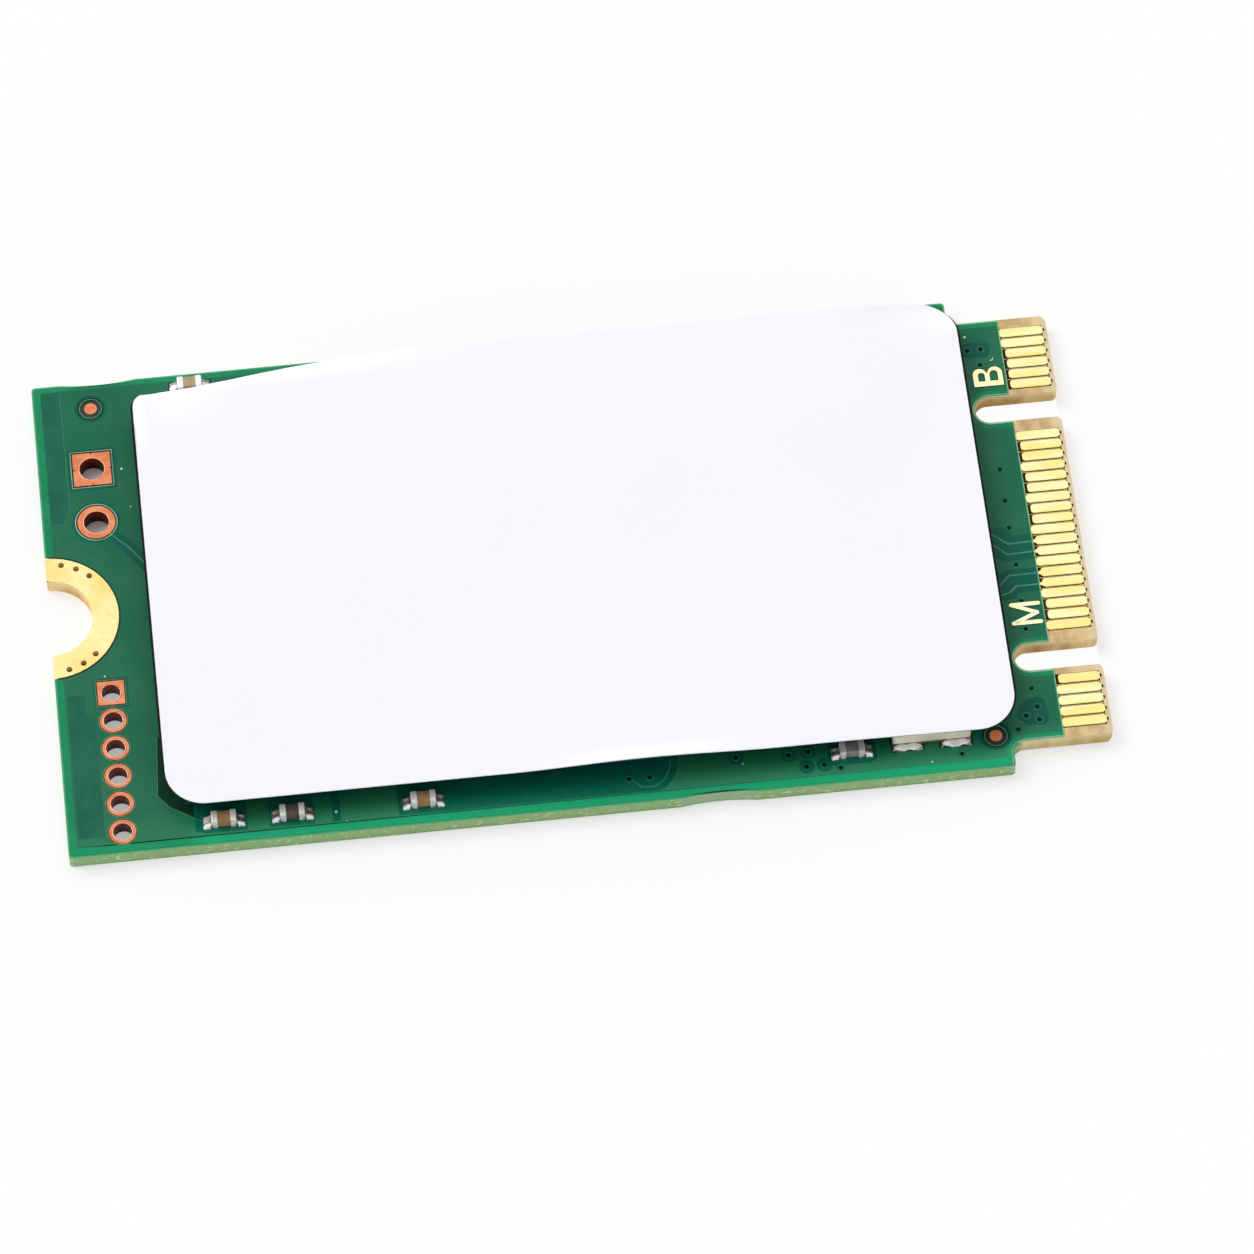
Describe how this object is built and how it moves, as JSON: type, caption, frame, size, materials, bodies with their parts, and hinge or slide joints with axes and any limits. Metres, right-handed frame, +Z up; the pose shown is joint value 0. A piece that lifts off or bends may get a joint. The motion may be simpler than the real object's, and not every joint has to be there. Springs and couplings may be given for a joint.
{
  "type": "gumstick solid state drive",
  "caption": "Bare gumstick solid state drive card with a keyed edge connector, a half-round mounting notch, plated holes and a blank white label over its chips.",
  "frame": {"origin": "middle of the card's 22 by 42 mm plan, on the surface that it lies on", "axes": "+X along the card's length, towards the edge connector; +Y across the card, towards the side of contact 1; +Z up, out of the side that carries the chips and the label"},
  "size_m": [0.042, 0.022, 0.0023],
  "materials": {
    "laminate": "woven glass and epoxy, sawn and routed edges",
    "solder_mask": "semi-gloss green lacquer",
    "gold_plating": "smooth gold plating over copper",
    "bare_copper": "bare copper with a clear preservative film",
    "solder": "bright tin solder",
    "end_cap": "matt tin plating",
    "tan_ceramic": "matt fired ceramic",
    "dark_ceramic": "matt fired ceramic",
    "ferrite": "matt sintered ferrite",
    "can_metal": "satin drawn metal",
    "mould_epoxy": "fine matt moulded epoxy",
    "substrate": "green package substrate",
    "label_film": "satin white film"
  },
  "bodies": {
    "root": {"circuit_board": "laminate", "solder_mask_top": "solder_mask", "solder_mask_bottom": "solder_mask", "edge_contacts_top": "gold_plating", "edge_contacts_bottom": "gold_plating", "mounting_pad_top": "gold_plating", "mounting_pad_bottom": "gold_plating", "large_hole_square": "bare_copper", "large_hole_round": "bare_copper", "header_hole_square": "bare_copper", "header_holes_round": "bare_copper", "fiducials": "bare_copper", "capacitor_1_body": "tan_ceramic", "capacitor_1_caps": "end_cap", "capacitor_1_solder": "solder", "capacitor_2_body": "dark_ceramic", "capacitor_2_caps": "end_cap", "capacitor_2_solder": "solder", "capacitor_3_body": "tan_ceramic", "capacitor_3_caps": "end_cap", "capacitor_3_solder": "solder", "capacitor_4_body": "dark_ceramic", "capacitor_4_caps": "end_cap", "capacitor_4_solder": "solder", "capacitor_5_body": "tan_ceramic", "capacitor_5_caps": "end_cap", "capacitor_5_solder": "solder", "crystal_base": "dark_ceramic", "crystal_can": "can_metal", "crystal_solder": "solder", "flash_1_mould": "mould_epoxy", "flash_1_substrate": "substrate", "flash_1_balls": "solder", "flash_2_mould": "mould_epoxy", "flash_2_substrate": "substrate", "flash_2_balls": "solder", "controller_mould": "mould_epoxy", "controller_leads": "solder", "regulator_mould": "mould_epoxy", "regulator_leads": "solder", "power_inductor_body": "ferrite", "power_inductor_caps": "end_cap", "power_inductor_solder": "solder", "supply_capacitor_bodies": "tan_ceramic", "supply_capacitor_caps": "end_cap", "supply_capacitor_solder": "solder", "hidden_capacitor_bodies": "tan_ceramic", "hidden_capacitor_caps": "end_cap", "hidden_capacitor_solder": "solder", "label": "label_film"}
  },
  "joints": []
}
